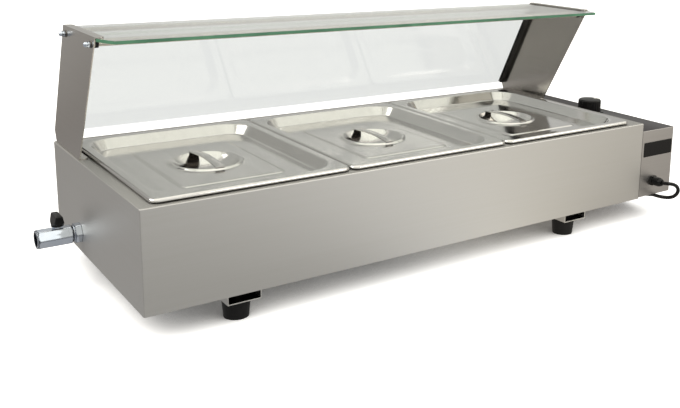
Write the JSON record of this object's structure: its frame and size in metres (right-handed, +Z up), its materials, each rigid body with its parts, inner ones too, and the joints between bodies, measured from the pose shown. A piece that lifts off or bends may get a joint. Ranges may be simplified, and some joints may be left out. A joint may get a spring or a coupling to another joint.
{
  "type": "electric wet-heat bain marie",
  "caption": "Counter-top steel bain marie with covered food pans over a heated water well, a thermostat box, a drain tap and a slanted glass guard with a glass shelf.",
  "frame": {"origin": "on the table, under the middle of the object's box without its lead", "axes": "+X along the body towards the control box, +Y from the operator to the guard, +Z up"},
  "size_m": [0.975, 0.539, 0.344],
  "materials": {
    "body_steel": "brushed stainless sheet",
    "pan_steel": "satin stainless sheet",
    "lid_steel": "polished stainless sheet",
    "support_steel": "brushed stainless plate",
    "rod_steel": "drawn stainless bar",
    "plated_brass": "nickel plated, polished",
    "plated_steel": "zinc plated",
    "brass": "turned brass",
    "heater_sheath": "oxidised steel tube",
    "black_plastic": "moulded, fine texture",
    "lever_coating": "dipped vinyl",
    "dial_plate": "printed plate",
    "shaft_steel": "turned steel",
    "rubber": "moulded rubber",
    "glass": "toughened float glass, ground edges",
    "edge_trim": "dark coated channel"
  },
  "bodies": {
    "body": {"body_shell": "body_steel", "base_plate": "body_steel", "control_housing": "body_steel", "control_base": "body_steel", "foot_channel_left": "body_steel", "foot_channel_right": "body_steel", "water_tank": "pan_steel", "pan_rest_bar_1": "pan_steel", "pan_rest_bar_2": "pan_steel", "element_rests": "pan_steel", "guard_support_left": "support_steel", "guard_support_right": "support_steel", "tie_rod_front": "rod_steel", "tie_rod_back": "rod_steel", "rod_spacers": "rod_steel", "drain_nut": "plated_brass", "valve_body": "plated_brass", "dome_nuts": "plated_brass", "foot_bolts": "plated_steel", "foot_nuts": "plated_steel", "nut_washers": "plated_steel", "element_nuts": "brass", "drain_pipe": "brass", "plug_pins": "brass", "heating_element": "heater_sheath", "gland_body": "black_plastic", "gland_nut": "black_plastic", "gland_locknut": "black_plastic", "plug_body": "black_plastic", "thermostat_body": "black_plastic", "terminal_block": "black_plastic", "thermostat_dial": "dial_plate", "foot_front_left": "rubber", "foot_back_left": "rubber", "foot_front_right": "rubber", "foot_back_right": "rubber", "rod_rings": "rubber", "power_cord": "rubber", "cord_coil": "rubber", "shelf_glass": "glass", "guard_glass": "glass", "glass_channel_left": "edge_trim", "glass_channel_right": "edge_trim"},
    "knob": {"thermostat_knob": "black_plastic", "thermostat_shaft": "shaft_steel"},
    "tap_lever": {"valve_lever": "lever_coating", "valve_stem": "plated_brass", "valve_ball": "plated_brass", "lever_screw": "plated_brass"},
    "pan_left": {"pan_1": "pan_steel"},
    "lid_left": {"lid_1": "lid_steel", "lid_handle_1": "lid_steel"},
    "pan_middle": {"pan_2": "pan_steel"},
    "lid_middle": {"lid_2": "lid_steel", "lid_handle_2": "lid_steel"},
    "pan_right": {"pan_3": "pan_steel"},
    "lid_right": {"lid_3": "lid_steel", "lid_handle_3": "lid_steel"}
  },
  "joints": [
    {"name": "knob_turn", "type": "hinge", "parent": "body", "child": "knob", "pos_m": [0.4485, -0.0085, 0.1559], "axis": [0, 0, 1], "range_deg": [0, 270]},
    {"name": "tap_turn", "type": "hinge", "parent": "body", "child": "tap_lever", "pos_m": [-0.4595, 0.0785, 0.0807], "axis": [0, 0, 1], "range_deg": [0, 90]},
    {"name": "pan_left_lift", "type": "slide", "parent": "body", "child": "pan_left", "axis": [0, 0, 1], "range_m": [0, 0.04]},
    {"name": "lid_left_lift", "type": "slide", "parent": "pan_left", "child": "lid_left", "axis": [0, -0.5299, 0.848], "range_m": [0, 0.12]},
    {"name": "pan_middle_lift", "type": "slide", "parent": "body", "child": "pan_middle", "axis": [0, 0, 1], "range_m": [0, 0.04]},
    {"name": "lid_middle_lift", "type": "slide", "parent": "pan_middle", "child": "lid_middle", "axis": [0, -0.5299, 0.848], "range_m": [0, 0.12]},
    {"name": "pan_right_lift", "type": "slide", "parent": "body", "child": "pan_right", "axis": [0, 0, 1], "range_m": [0, 0.04]},
    {"name": "lid_right_lift", "type": "slide", "parent": "pan_right", "child": "lid_right", "axis": [0, -0.5299, 0.848], "range_m": [0, 0.12]}
  ]
}
